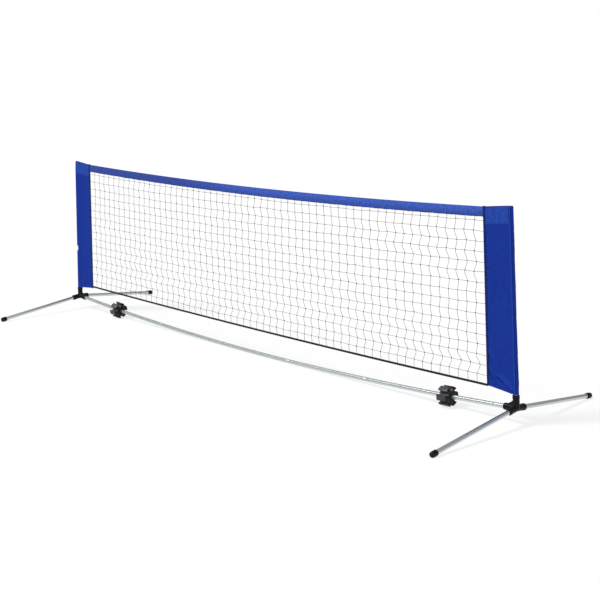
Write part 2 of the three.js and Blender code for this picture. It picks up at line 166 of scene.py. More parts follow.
class Form:
    """Points and faces of one mesh, with a flat coordinate in metres for each face corner."""

    def __init__(self):
        self.points, self.faces, self.flat = [], [], []

    def add(self, points, faces, flat=None):
        start = sum(len(block) for block in self.points)
        self.points.append(np.asarray(points, float).reshape(-1, 3))
        self.faces += [[start + i for i in face] for face in faces]
        self.flat += flat or [[(0, 0)] * len(face) for face in faces]

    def grid(self, rows, closed=False, across=None, along=None, flip=False, ends=False):
        """A surface through rows of points. Closed joins each row's end to its start."""
        rows = np.asarray(rows, float)
        n, m = rows.shape[:2]
        columns = m if closed else m - 1
        if across is None:
            steps = np.linalg.norm(np.diff(rows[n // 2], axis=0, append=rows[n // 2, :1]), axis=1)
            across = np.concatenate([[0], np.cumsum(steps)])
        if along is None:
            along = np.concatenate([[0], np.cumsum(np.linalg.norm(np.diff(rows[:, 0], axis=0), axis=1))])
        faces, flat = [], []
        for i in range(n - 1):
            for j in range(columns):
                k = (j + 1) % m
                corners = [(i, j, j), (i, k, j + 1), (i + 1, k, j + 1), (i + 1, j, j)]
                if flip:
                    corners.reverse()
                faces.append([a * m + b for a, b, _ in corners])
                flat.append([(across[c], along[a]) for a, _, c in corners])
        if ends:
            for i in (0, n - 1):
                rim = [i * m + j for j in range(m)]
                faces.append(rim if (i > 0) != flip else rim[::-1])
                flat.append([(across[j], along[i]) for j in range(m)])
        self.add(rows.reshape(-1, 3), faces, flat)

    def moved(self, matrix):
        turn = np.array(matrix.to_3x3())
        shift = np.array(matrix.translation)
        self.points = [block @ turn.T + shift for block in self.points]
        return self

    def join(self, other):
        self.add(np.concatenate(other.points), other.faces)

    def mesh(self, name):
        made = bpy.data.meshes.new(name)
        made.from_pydata(np.concatenate(self.points), [], self.faces)
        return made

    def piece(self, name, material, body, slot, *replaced, sharp=35):
        """The finished object, riding on its body."""
        mesh = self.mesh(name)
        layer = mesh.uv_layers.new(name="flat")
        layer.data.foreach_set("uv", np.array([c for face in self.flat for c in face]).ravel())
        mesh.materials.append(material)
        mesh.shade_smooth()
        mesh.set_sharp_from_angle(angle=math.radians(sharp))
        mesh.update()
        return placed(bpy.data.objects.new(name, mesh), body, slot, *replaced)


def placed(piece, body, slot, *replaced):
    if not piece.users_collection:
        bpy.context.scene.collection.objects.link(piece)
    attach(piece, body)
    if replaced:
        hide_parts(*replaced)
    return piece


def ring(radius, height, sides):
    angles = np.arange(sides) * TURN / sides
    return np.stack([radius * np.cos(angles), radius * np.sin(angles), np.full(sides, height)], 1)


def lathe(form, profile, sides=TUBE_SIDES, bend=None):
    """A solid of revolution about +Z. The profile, as (radius, height), runs up its outside."""
    rows = np.array([ring(max(r, 1e-6), z, sides) for r, z in profile])
    if bend:
        rows = bend(rows)
    girth = TURN * max(r for r, _ in profile)
    across = np.linspace(0, girth, sides + 1)
    form.grid(rows, closed=True, across=across, along=[z for _, z in profile])


def corner(here, before, after, reach, steps=3):
    """Points that round a corner, given the ways to its neighbours."""
    before, after = (way * reach / np.linalg.norm(way) for way in (before, after))
    return [here + before * (1 - t) ** 2 + after * t ** 2 for t in np.linspace(0, 1, steps + 1)]


def rounded(profile, radius):
    """A closed profile with its corners rounded, where they are marked by a third value of True."""
    places = [np.array(stop[:2]) for stop in profile]
    made = []
    for i, here in enumerate(places):
        before, after = places[i - 1] - here, places[(i + 1) % len(places)] - here
        made += corner(here, before, after, radius) if profile[i][2] else [here]
    return [tuple(place) for place in made]


def aimed(direction, origin=(0, 0, 0)):
    """A transform that takes +Z to a direction."""
    turn = Vector((0, 0, 1)).rotation_difference(Vector(direction))
    return Matrix.Translation(origin) @ turn.to_matrix().to_4x4()


def sweep(form, path, radius, sides=6):
    """A round thread along a path, open at its ends."""
    path = np.asarray(path, float)
    run = np.gradient(path, axis=0)
    run /= np.linalg.norm(run, axis=1)[:, None]
    first = np.cross(run, (0.12, 0.97, 0.21))
    first /= np.linalg.norm(first, axis=1)[:, None]
    second = np.cross(run, first)
    angles = np.arange(sides) * TURN / sides
    round_it = first[:, None] * np.cos(angles)[:, None] + second[:, None] * np.sin(angles)[:, None]
    form.grid(path[:, None] + radius * round_it, closed=True)


# ---- places ----

END_PLACE = {
    side: Matrix.Rotation(0 if side == "right" else math.pi, 4, "Z")
    @ Matrix.Translation((HALF_SPAN, 0, JUNCTION_HEIGHT))
    @ Matrix.Rotation(-POST_LEAN, 4, "Y")
    for side in SIDES
}


def net_point(side, v, w, y=0.0):
    """A point of an end's cloth: v inwards from the post's axis, w up it, y to the back."""
    v, w = np.asarray(v, float), np.asarray(w, float)
    x = HALF_SPAN - v * math.cos(POST_LEAN) - w * math.sin(POST_LEAN)
    z = JUNCTION_HEIGHT - v * math.sin(POST_LEAN) + w * math.cos(POST_LEAN)
    return np.stack(np.broadcast_arrays(OUTWARD[side] * x, y, z), -1)


def bend_to_bar(rows):
    """Lays a shape that runs along +Z onto the bar's arc."""
    angle = rows[..., 2] / BAR_RADIUS
    reach = BAR_RADIUS + rows[..., 0]
    return np.stack([reach * np.sin(angle), rows[..., 1],
                     BAR_MID_HEIGHT + BAR_RADIUS - reach * np.cos(angle)], -1)


def inner_edge(w, back=0.0):
    """How far in from the post the panel's inner edge is, at a height up the post."""
    share = (w - PANEL_BOTTOM[1]) / (PANEL_TOP[1] - PANEL_BOTTOM[1])
    return mix(PANEL_BOTTOM[0], PANEL_TOP[0], share) - back


EDGE_TOP = net_point("right", *PANEL_TOP)
EDGE_BOTTOM = net_point("right", *PANEL_BOTTOM)


def half_width(z):
    """From mid-span to a panel's inner edge, at a height above the floor."""
    share = (z - EDGE_BOTTOM[2]) / (EDGE_TOP[2] - EDGE_BOTTOM[2])
    return mix(EDGE_BOTTOM[0], EDGE_TOP[0], share)


def band_top(x):
    return EDGE_TOP[2] - BAND_SAG * (1 - (x / EDGE_TOP[0]) ** 2)


def cord_height(x):
    share = x / EDGE_BOTTOM[0]
    return CORD_END_HEIGHT - CORD_TILT * share - CORD_SAG * (1 - share ** 2)


POCKET_R = 10.9 * MM
PANEL_SLOPE = math.asin(POCKET_R / PANEL_FOLD)
FRONT_AT = math.pi / 2 - PANEL_SLOPE  # where the front layer meets the pocket round the post
FRONT_LENGTH = PANEL_BOTTOM[0] - 4 * MM  # across the front layer, near enough
RIDGE_AT = math.radians(106)  # a pressed fold in the pocket
RIDGE = FRONT_LENGTH + POCKET_R * (RIDGE_AT - FRONT_AT)

# ---- materials ----

WAVE_SCALE = 0.314  # the Wave texture's scale for bands one metre apart


def set_stops(ramp, stops):
    elements = ramp.color_ramp.elements
    while len(elements) < len(stops):
        elements.new(0.5)
    for element, (position, colour) in zip(elements, stops):
        element.position = position
        element.color = (*colour, 1)


class Look:
    """A material under construction: its nodes and links, with short calls for common nodes."""

    def __init__(self, name, **values):
        self.material = bpy.data.materials.new(name)
        self.material.use_nodes = True
        self.tree = self.material.node_tree
        self.shader = self.tree.nodes["Principled BSDF"]
        for socket, value in values.items():
            self.shader.inputs[socket.replace("_", " ")].default_value = value
        self.bumps = None

    def node(self, kind, inputs=None, **settings):
        made = self.tree.nodes.new("ShaderNode" + kind)
        for key, value in settings.items():
            setattr(made, key, value)
        for key, value in (inputs or {}).items():
            self.put(value, made.inputs[key])
        return made

    def put(self, value, socket):
        if isinstance(value, bpy.types.NodeSocket):
            self.tree.links.new(value, socket)
        else:
            socket.default_value = value

    def place(self, kind="UV", scale=(1, 1, 1), turn=0.0):
        source = self.node("TexCoord").outputs[kind]
        moved = self.node("Mapping", {"Vector": source, "Scale": scale, "Rotation": (0, 0, turn)})
        return moved.outputs["Vector"]

    def cloud(self, place, scale, detail=3.0, roughness=0.55, warp=0.0):
        made = self.node("TexNoise", {"Vector": place, "Scale": scale, "Detail": detail,
                                      "Roughness": roughness, "Distortion": warp})
        return made.outputs["Fac"]

    def bands(self, place, scale, direction="X", warp=0.0):
        made = self.node("TexWave", {"Vector": place, "Scale": scale, "Distortion": warp,
                                     "Detail": 2.0, "Detail Scale": 1.5},
                         wave_type="BANDS", bands_direction=direction)
        return made.outputs["Fac"]

    def spread(self, value, low, high, to_low, to_high):
        made = self.node("MapRange", {"Value": value, "From Min": low, "From Max": high,
                                      "To Min": to_low, "To Max": to_high})
        return made.outputs["Result"]

    def vary(self, noise, low, high):
        """Values from low to high over the range that a noise mostly keeps to."""
        return self.spread(noise, 0.3, 0.7, low, high)

    def sums(self, how, a, b):
        made = self.node("Math", {0: a, 1: b}, operation=how)
        return made.outputs[0]

    def ramp(self, value, *stops):
        made = self.node("ValToRGB", {"Fac": value})
        set_stops(made, stops)
        return made.outputs["Color"]

    def tint(self, how, share, a, b):
        made = self.node("Mix", {0: share}, data_type="RGBA", blend_type=how)
        self.put(a, made.inputs[6])
        self.put(b, made.inputs[7])
        return made.outputs[2]

    def strip(self, axis, low, high, soft):
        """1 where a flat coordinate lies between two values, and 0 elsewhere."""
        at = self.node("SeparateXYZ", {0: self.place()}).outputs[axis]
        above = self.spread(at, low - soft, low + soft, 0, 1)
        return self.sums("MULTIPLY", above, self.spread(at, high - soft, high + soft, 1, 0))

    def colour(self, value):
        self.put(value, self.shader.inputs["Base Color"])

    def rough(self, value):
        self.put(value, self.shader.inputs["Roughness"])

    def bump(self, height, distance, strength=1.0):
        values = {"Height": height, "Distance": distance, "Strength": strength}
        if self.bumps:
            values["Normal"] = self.bumps
        self.bumps = self.node("Bump", values).outputs["Normal"]
        self.put(self.bumps, self.shader.inputs["Normal"])


def steel_look():
    """Zinc-plated tube: drawing lines along it, a faint cloud and fine spangles."""
    look = Look("zinc_steel", Metallic=1.0)
    along = look.place(scale=(1, 0.012, 1))
    lines = look.cloud(along, 2600, detail=2.0)
    cloud = look.cloud(look.place(), 60, detail=4.0, roughness=0.6)
    spangle = look.node("TexVoronoi", {"Vector": look.place(), "Scale": 420.0}).outputs["Color"]
    speck = look.node("RGBToBW", {"Color": spangle}).outputs[0]
    base = look.ramp(cloud, (0.3, (0.55, 0.59, 0.61)), (0.7, (0.60, 0.64, 0.66)))
    grain = look.spread(speck, 0, 1, 0.95, 1.0)
    look.colour(look.tint("MULTIPLY", 1.0, base, grain))
    streaks = look.vary(lines, 0.21, 0.27)
    look.rough(look.sums("ADD", streaks, look.vary(cloud, 0.0, 0.03)))
    look.bump(lines, 0.00002, 0.5)
    look.bump(cloud, 0.00008, 0.1)
    return look.material


def plastic_look(name, colour, shine, texture, worn, specular):
    """Moulded plastic: fine spark texture, faint flow marks and paler rubbed patches.

    Shine is its lowest roughness, texture the height of its grain and worn how much paler it rubs.
    """
    look = Look(name, Specular_IOR_Level=specular)
    place = look.place("Object")
    fine = look.cloud(place, 1500, detail=2.0)
    flow = look.cloud(look.place("Object", (1, 1, 2.5)), 45, detail=3.0, warp=0.6)
    scuff = look.cloud(place, 160, detail=6.0, roughness=0.7)
    light = tuple(c * worn for c in colour)
    base = look.ramp(flow, (0.35, colour), (0.75, tuple(c * 1.35 for c in colour)))
    look.colour(look.tint("MIX", look.spread(scuff, 0.56, 0.72, 0.0, 0.55), base, (*light, 1)))
    gloss = look.sums("ADD", look.vary(fine, shine, shine + 0.08),
                      look.spread(scuff, 0.45, 0.75, 0.0, 0.16))
    look.rough(gloss)
    look.bump(fine, texture, 0.6)
    look.bump(flow, 0.0004, 0.10)
    return look.material


def cloth_look(name, dark, light, weave=0.7 * MM, patchy=35.0, rib=0.0, sheen=0.03, painted_light=()):
    """Plain-woven polyester: crossing threads, uneven dye, fine slubs and a soft sheen.

    Each strip of the last argument is painted light, a painted highlight or painted shade in another
    colour, as (flat axis, low, high, softness, colour, share).
    """
    look = Look(name, Sheen_Weight=sheen, Sheen_Roughness=0.45, Specular_IOR_Level=0.08)
    look.shader.inputs["Sheen Tint"].default_value = (*(min(1, 2.2 * c + 0.1) for c in light), 1)
    threads = WAVE_SCALE / weave
    warp = look.bands(look.place(), threads, "X", 0.6)
    weft = look.bands(look.place(), threads, "Y", 0.6)
    woven = look.sums("MAXIMUM", warp, look.sums("MULTIPLY", weft, 0.92))
    patches = look.cloud(look.place(), patchy, detail=5.0, roughness=0.62)
    slub = look.cloud(look.place(scale=(1, 0.08, 1)), 900, detail=2.0)
    base = look.ramp(patches, (0.32, dark), (0.68, light))
    lines = look.spread(woven, 0.1, 1.0, 0.80, 1.04)
    flecks = look.vary(slub, 0.93, 1.07)
    # Strips of painted highlight and painted shade over the cloth's colour.
    for axis, low, high, soft, colour, share in painted_light:
        cover = look.sums("MULTIPLY", look.strip(axis, low, high, soft), share)
        base = look.tint("MIX", cover, base, (*colour, 1))
    look.colour(look.tint("MULTIPLY", 1.0, look.tint("MULTIPLY", 1.0, base, lines), flecks))
    look.rough(look.spread(woven, 0, 1, 0.78, 0.62))
    look.bump(woven, 0.00012, 0.55)
    look.bump(patches, 0.0008, 0.18)
    if rib:
        look.bump(look.bands(look.place(), WAVE_SCALE / rib, "X", 2.5), 0.0006, 0.35)
    return look.material


def thread_look(name, dark, light, pitch=1.6 * MM):
    """Twisted thread: the strands' slanting lines and the lighter fuzz between them."""
    look = Look(name, Sheen_Weight=0.04, Sheen_Roughness=0.6, Specular_IOR_Level=0.12)
    slant = look.place(turn=math.radians(35))
    strands = look.bands(slant, WAVE_SCALE / pitch, "Y", 0.8)
    fuzz = look.cloud(look.place(), 1800, detail=3.0)
    base = look.ramp(strands, (0.15, dark), (0.85, light))
    look.colour(look.tint("MULTIPLY", 1.0, base, look.vary(fuzz, 0.82, 1.12)))
    look.rough(look.vary(fuzz, 0.62, 0.85))
    look.bump(strands, 0.00025, 0.6)
    look.bump(fuzz, 0.0001, 0.4)
    return look.material


STEEL = steel_look()
MOULDED = plastic_look("moulded_black", (0.0030, 0.0030, 0.0034),
                       shine=0.24, texture=0.00004, worn=3.0, specular=0.14)
# A paler copy of the clips' black plastic, for their sides: painted light, as if the sides were lit.
CLIP_SIDE_PAINTED_LIT = plastic_look("clip_side_painted_lit", (0.034, 0.033, 0.037),
                         shine=0.38, texture=0.00006, worn=1.8, specular=0.3)
CLIP_FACE = plastic_look("clip_black", (0.0035, 0.0034, 0.0040),
                         shine=0.26, texture=0.00003, worn=3.0, specular=0.12)
GLOSSY = plastic_look("cap_black", (0.0025, 0.0025, 0.0029),
                      shine=0.12, texture=0.00002, worn=2.5, specular=0.16)
# Painted shade for folds and edges: along each panel's top edge, the doubling's fold over it, and the
# band's top fold and lower edges.
FOLD_SHADE_PAINTED = (0.010, 0.020, 0.13)
# The blue cloth carries a painted highlight along the pocket's ridge and painted shade on the strip just
# outside it.
PANEL = cloth_look("blue_cloth", (0.0062, 0.0295, 0.262), (0.0082, 0.0350, 0.292),
                   painted_light=[(0, RIDGE - 1.4 * MM, RIDGE + 1.4 * MM, 0.5 * MM, (0.020, 0.062, 0.37), 0.9),
                          (0, RIDGE + 2.2 * MM, RIDGE + 6.0 * MM, 0.8 * MM, (0.001, 0.014, 0.19), 0.75),
                          (1, SLEEVE_TOP - SLEEVE_BOTTOM - 3.2 * MM, 1, 0.4 * MM, FOLD_SHADE_PAINTED, 0.85)])
PATCH = cloth_look("blue_doubling", (0.0120, 0.047, 0.315), (0.0225, 0.074, 0.405), patchy=60.0,
                   painted_light=[(1, PATCH_HEIGHT - 3.2 * MM, PATCH_HEIGHT + 3.2 * MM, 0.4 * MM, FOLD_SHADE_PAINTED, 0.9)])
# Painted shade on the band: along the lower 17 mm of its front and of its back, and over its left 1.1 m.
BAND_PAINTED_SHADE = (0.028, 0.052, 0.27)
BAND = cloth_look("band_cloth", (0.024, 0.070, 0.38), (0.066, 0.135, 0.53), weave=0.9 * MM,
                  patchy=85.0, rib=7 * MM, sheen=0.3,
                  painted_light=[(0, -1, 17 * MM, 9 * MM, BAND_PAINTED_SHADE, 0.55),
                         (0, 2 * BAND_HEIGHT - 17 * MM, 1, 9 * MM, BAND_PAINTED_SHADE, 0.55),
                         (1, -1, 1.1, 0.3, BAND_PAINTED_SHADE, 0.95),
                         (0, -1, 3.5 * MM, 0.6 * MM, FOLD_SHADE_PAINTED, 0.45),
                         (0, 2 * BAND_HEIGHT - 3.5 * MM, 1, 0.6 * MM, FOLD_SHADE_PAINTED, 0.45),
                         (0, BAND_HEIGHT - 2.4 * MM, BAND_HEIGHT + 2.4 * MM, 0.8 * MM, FOLD_SHADE_PAINTED, 0.4)])
BINDING = cloth_look("binding_tape", (0.004, 0.014, 0.095), (0.011, 0.026, 0.150), patchy=120.0)
LABEL = cloth_look("label_tape", (0.80, 0.82, 0.86), (0.88, 0.90, 0.94), weave=0.4 * MM)
THREAD = thread_look("net_thread", (0.016, 0.016, 0.017), (0.060, 0.060, 0.063))
CORD = thread_look("cord_black", (0.0020, 0.0020, 0.0024), (0.0060, 0.0060, 0.0070), pitch=4 * MM)
STITCH = thread_look("stitch_thread", (0.010, 0.022, 0.15), (0.022, 0.045, 0.26))

# ---- tubes ----

EDGE = 0.8 * MM  # rounding of a tube's cut end


def tube_profile(start, end, stations=2, spigot=False):
    """A hollow tube's section as a closed loop, with its outer corners rounded."""
    inner = TUBE_R - TUBE_WALL
    outside = [(TUBE_R, z, False) for z in np.linspace(start, end, stations)[1:-1]]
    inside = [(inner, z, False) for z in np.linspace(end, start, stations)[1:-1]]
    loop = [(TUBE_R, start, True), *outside, (TUBE_R, end, True), (inner, end, False), *inside]
    if spigot:
        bore = SPIGOT_R - TUBE_WALL
        loop += [(inner, start + 2 * MM, False), (bore, start + 2 * MM, False)]
        loop += [(bore, start - SPIGOT_LENGTH, False), (SPIGOT_R, start - SPIGOT_LENGTH, False)]
        loop += [(SPIGOT_R, start, False)]
    else:
        loop += [(inner, start, False)]
    made = rounded(loop, EDGE)
    return made + made[:1]


def tube_piece(name, body, profile, place=None, bend=None):
    form = Form()
    lathe(form, profile, bend=bend)
    if place:
        form.moved(place)
    return form.piece(name + "_fine", STEEL, body, "tube_steel", name, sharp=30)


def mirrored_bar(rows):
    return bend_to_bar(rows) * (-1, -1, 1)


def add_bar():
    inner, outer = BAR_JOINTS
    tube_piece("bar_tube_middle", "frame", tube_profile(-inner, inner, 26), bend=bend_to_bar)
    for side, bend in (("left", mirrored_bar), ("right", bend_to_bar)):
        near = tube_profile(inner + GAP, outer, 26, True)
        far = tube_profile(outer + GAP, BAR_END, 38, True)
        tube_piece(f"bar_tube_inner_{side}", "frame", near, bend=bend)
        tube_piece(f"bar_tube_outer_{side}", "frame", far, bend=bend)


def add_posts():
    for side in SIDES:
        tube_piece(f"post_{side}", "frame", tube_profile(SOCKET_FLOOR + GAP, POST_TOP), END_PLACE[side])
        cap = frame["nodes"][f"post_cap_{side}"]
        cap.data.materials.clear()
        cap.data.materials.append(MOULDED)


def cap_profile():
    """A foot cap's section: an open mouth round the tube and a rounded, slightly swollen end."""
    outline = [(11.2, 0.3), (12.0, 1.0), (12.5, 3), (12.6, 7), (12.65, 13), (12.6, 19), (12.4, 22.5),
               (11.8, 25.5), (10.5, 28), (8.3, 29.4), (5.0, 29.9), (0, 30)]
    inside = [(0, 21), (10, 21), (10, 0.4), (10.3, 0)]
    return [(r * MM, z * MM) for r, z in inside + [(10.6, 0)] + outline]


def add_legs():
    cap_start = LEG_LENGTH - CAP_LENGTH / 2
    tube_end = cap_start + CAP_BORE - GAP
    for side in SIDES:
        for facing in ("front", "back"):
            name = f"{facing}_{side}"
            way = JOINTS[f"{name}_leg_pull"]["axis"]
            place = aimed(way, END_PLACE[side].translation)
            tube_piece(f"leg_tube_{name}", f"leg_{name}", tube_profile(SOCKET_FLOOR + GAP, tube_end), place)
            form = Form()
            lathe(form, cap_profile(), SOCKET_SIDES)
            form.moved(place @ Matrix.Translation((0, 0, cap_start)))
            for block in form.points:
                block[:, 2] = np.maximum(block[:, 2], 0)
            form.piece(f"foot_cap_{name}_fine", GLOSSY, f"leg_{name}", "cap_plastic",
                       f"foot_cap_{name}", sharp=50)


# ---- star clips ----

NOTCHES = 6
BEVEL = 0.9 * MM
CORNER = 1.3 * MM
STRAIGHT_BELOW = -0.75  # the cosine of the angle at a point of an outline, where it counts as smooth
EASED = [(BEVEL * (1 - math.sin(t)), BEVEL * (1 - math.cos(t))) for t in np.linspace(0, math.pi / 2, 4)]


def arc(centre, radius, start, end, steps):
    angles = np.linspace(start, end, steps + 1)
    return np.stack([centre[0] + radius * np.cos(angles), centre[1] + radius * np.sin(angles)], 1)


def softened(outline, radius):
    """A closed outline with its sharp corners rounded."""
    made = []
    for i, here in enumerate(outline):
        before, after = outline[i - 1] - here, outline[(i + 1) % len(outline)] - here
        lengths = np.linalg.norm(before), np.linalg.norm(after)
        straight = before @ after / (lengths[0] * lengths[1]) < STRAIGHT_BELOW
        made += [here] if straight else corner(here, before, after, min(radius, 0.45 * min(lengths)))
    return np.array(made)


def inset(outline, distance):
    """The outline moved towards its own inside, which is on its left."""
    before = outline - np.roll(outline, 1, 0)
    after = np.roll(outline, -1, 0) - outline
    run = before / np.linalg.norm(before, axis=1)[:, None] + after / np.linalg.norm(after, axis=1)[:, None]
    run /= np.linalg.norm(run, axis=1)[:, None]
    return outline + distance * np.stack([-run[:, 1], run[:, 0]], 1)


def bevelled_wall(form, outline, half):
    """The wall of a plate or hole with rounded rims, from a height down to as far below 0."""
    rows = [(d, half - drop) for d, drop in EASED]
    rows += [(d, -z) for d, z in rows[::-1]]
    loops = [inset(outline, d) for d, _ in rows]
    points = [np.column_stack([loop, np.full(len(loop), z)]) for loop, (_, z) in zip(loops, rows)]
    form.grid(points, closed=True, flip=True)
    return loops[0]


def face_between(form, loops, height, up):
    """A flat face inside the first loop and outside the others."""
    flat = [[(x, y, 0) for x, y in loop] for loop in loops]
    points = [(x, y, height) for loop in flat for x, y, _ in loop]
    faces = [list(f) if up else list(f)[::-1] for f in tessellate_polygon(flat)]
    form.add(points, faces, [[points[i][:2] for i in face] for face in faces])


def clip_outline(first):
    """Lobes with a tube-sized notch between each pair."""
    lobe = math.pi / NOTCHES
    lip = math.asin(MOUTH_WIDTH / 2 / CLIP_R)
    throat = math.asin(MOUTH_WIDTH / 2 / NOTCH_R)
    parts = []
    for k in range(NOTCHES):
        turn = first + k * TURN / NOTCHES
        axis = (NOTCH_CENTRE * math.cos(turn), NOTCH_CENTRE * math.sin(turn))
        parts.append(arc((0, 0), CLIP_R, turn - lobe, turn - lip, 6))
        parts.append(arc(axis, NOTCH_R, turn - throat, turn + throat - TURN, 26))
        parts.append(arc((0, 0), CLIP_R, turn + lip, turn + lobe, 6)[:-1])
    return softened(np.concatenate(parts), CORNER)


def add_clips():
    for side in SIDES:
        joint = JOINTS[f"{side}_clip_turn"]
        first = CLIP_TURNS[side]
        half = CLIP_LENGTH / 2
        form = Form()
        outer = bevelled_wall(form, clip_outline(first), half)
        bore = bevelled_wall(form, arc((0, 0), CLIP_BORE_R, TURN, 0, TUBE_SIDES)[:-1], half)
        rims = []
        for k in range(NOTCHES):
            turn = first + (k + 0.5) * TURN / NOTCHES
            centre = (CORE_PLACE * math.cos(turn), CORE_PLACE * math.sin(turn))
            circle = arc(centre, CORE_R, TURN, 0, 24)[:-1]
            for way in (1, -1):
                rims.append((way, core_hole(form, circle, way, half)))
        for way in (1, -1):
            holes = [loop for of, loop in rims if of == way]
            face_between(form, [outer, bore, *holes], way * half, way > 0)
        run = Vector(joint["axis"])
        up = Vector((-run.z, 0, run.x))
        place = Matrix((Vector((0, 1, 0)), up, run)).transposed().to_4x4()
        form.moved(Matrix.Translation(joint["pos_m"]) @ place)
        clip = form.piece(f"star_clip_{side}_fine", CLIP_SIDE_PAINTED_LIT, f"clip_{side}", "black_plastic",
                          f"star_clip_{side}")
        # The end faces get the plain black plastic; the sides keep the paler copy, lightened by painted
        # light.
        clip.data.materials.append(CLIP_FACE)
        for polygon in clip.data.polygons:
            polygon.material_index = int(abs(polygon.normal.dot(run)) > 0.9)


def core_hole(form, circle, way, half):
    """A blind hole in a lobe, from one face down to the web, with a rounded rim and floor."""
    floor = CORE_WEB / 2
    rows = [(-d, half - drop) for d, drop in EASED] + [(drop, floor + d) for d, drop in EASED]
    centre = circle.mean(0)
    loops = [centre + (circle - centre) * (1 - d / CORE_R) for d, _ in rows]
    points = [np.column_stack([loop, np.full(len(loop), way * z)]) for loop, (_, z) in zip(loops, rows)]
    form.grid(points, closed=True, flip=way > 0)
    bottom = [(x, y, way * floor) for x, y in loops[-1]]
    order = list(range(len(bottom)))
    form.add(bottom, [order[::-1] if way > 0 else order], [[p[:2] for p in bottom]])
    return loops[0]


# ---- corner connectors ----

BAR_TILT = BAR_END_ANGLE - POST_LEAN
BAR_WAY = (-math.cos(BAR_TILT), 0, -math.sin(BAR_TILT))
LEG_WAYS = [(0, way * math.cos(LEG_SLOPE), -math.sin(LEG_SLOPE)) for way in (-1, 1)]
WEB = 5 * MM
VOXEL = 0.75 * MM
MELT_STEPS = 7


def socket_outside(length):
    return [(0, 0), (SOCKET_R, 0), (SOCKET_R, length - COLLAR_LENGTH - 1.2 * MM),
            (COLLAR_R, length - COLLAR_LENGTH), (COLLAR_R, length - 1.6 * MM),
            (COLLAR_R - 0.5 * MM, length - 0.5 * MM), (COLLAR_R - 1.6 * MM, length), (0, length)]


def socket_bore(length):
    """What is cut from a socket: a bore with an eased mouth."""
    return [(0, SOCKET_FLOOR), (BORE_R, SOCKET_FLOOR), (BORE_R, length - 1.6 * MM),
            (BORE_R + 1.2 * MM, length + 0.1 * MM), (BORE_R + 1.2 * MM, length + 6 * MM),
            (0, length + 6 * MM)]


def add_web(form, outline, upright, shift=0.0):
    """A flat web with its outline in millimetres, either upright along X or level."""
    rows = [[(a, side, b) if upright else (a, b, side) for a, b in np.array(outline) * MM]
            for side in (shift - WEB / 2, shift + WEB / 2)]
    form.grid(rows, closed=True, ends=True)


def add_aimed(form, profile, way):
    """A solid of revolution that runs the given way from the junction."""
    part = Form()
    lathe(part, profile, SOCKET_SIDES)
    form.join(part.moved(aimed(way)))


def scratch(name, form):
    """A working object, which rides on nothing."""
    made = bpy.data.objects.new(name, form.mesh(name))
    bpy.context.scene.collection.objects.link(made)
    return made


def apply_all(piece):
    graph = bpy.context.evaluated_depsgraph_get()
    mesh = bpy.data.meshes.new_from_object(piece.evaluated_get(graph))
    piece.modifiers.clear()
    piece.data = mesh
    return piece


def connector_shape():
    """The moulding, its sockets and webs melted together with small fillets, then bored."""
    sockets = [((0, 0, 1), POST_SOCKET), (BAR_WAY, BAR_SOCKET), *((way, LEG_SOCKET) for way in LEG_WAYS)]
    form = Form()
    lathe(form, [(COLLAR_R * math.sin(t), -COLLAR_R * math.cos(t)) for t in np.linspace(0, math.pi, 13)])
    for way, length in sockets:
        add_aimed(form, socket_outside(length), way)
    add_web(form, [(-2, 2), (-2, 36), (-12.5, 34), (-21, 24), (-33, 17), (-46, 12), (-47, 2)], True)
    for way in (-1, 1):
        corners = [(-4, 4 * way), (-37, 9 * way), (-20, 19 * way), (-9, 35 * way)]
        add_web(form, corners, False, -3 * MM)
    body = scratch("connector_shape", form)
    melt = body.modifiers.new("melt", "REMESH")
    melt.mode = "VOXEL"
    melt.voxel_size = VOXEL
    ease = body.modifiers.new("ease", "SMOOTH")
    ease.factor = 0.5
    ease.iterations = MELT_STEPS
    bores = Form()
    for way, length in sockets:
        add_aimed(bores, socket_bore(length), way)
    cutter = scratch("connector_bores", bores)
    cut = body.modifiers.new("cut", "BOOLEAN")
    cut.operation = "DIFFERENCE"
    cut.object = cutter
    cut.use_self = True
    apply_all(body)
    bpy.data.objects.remove(cutter)
    return body


def add_connectors():
    shape = connector_shape()
    for side in SIDES:
        name = f"connector_{side}"
        mesh = shape.data.copy()
        mesh.transform(END_PLACE[side])
        mesh.materials.clear()
        mesh.materials.append(MOULDED)
        mesh.shade_smooth()
        mesh.set_sharp_from_angle(angle=math.radians(40))
        placed(bpy.data.objects.new(name + "_fine", mesh), "frame", "black_plastic", name)
    bpy.data.objects.remove(shape)


add_bar()
add_posts()
add_legs()
add_clips()
add_connectors()

# ---- sewn cloth ----

CLOTH = 0.35 * MM  # half the thickness of one layer
POCKET_CLOSE = 6.2 * MM  # height over which the pocket's top is pressed flat
SEAM_ALLOWANCE = 7 * MM
SEAM_GAP = 0.9 * MM  # between the middles of the two layers at the seam
FOLD_EASE = 14 * MM
SEEDS = {("front", "right"): 3.0, ("front", "left"): 11.0, ("pocket", "right"): 23.0,
         ("pocket", "left"): 31.0, "patch": 41.0, "tape": 51.0, "band": 61.0, "cord": 95.0}
wobbles = np.vectorize(wobble, otypes=[float])


def sheet_form(form, rows, half, across=None, along=None):
    """A layer of cloth as a thin closed solid round its middle surface."""
    rows = np.asarray(rows, float)
    out = np.cross(np.gradient(rows, axis=1), np.gradient(rows, axis=0))
    out /= np.linalg.norm(out, axis=2)[..., None]
    out *= np.broadcast_to(half, rows.shape[:2])[..., None]
    front, back = rows + out, rows - out
    form.grid(front, across=across, along=along)
    form.grid(back, across=across, along=along, flip=True)
    for a, b in ((front[0], back[0]), (back[-1], front[-1]), (back[:, 0], front[:, 0]),
                 (front[:, -1], back[:, -1])):
        form.grid([a, b])


def hump(value, middle, width):
    return np.exp(-((value - middle) / width) ** 2)


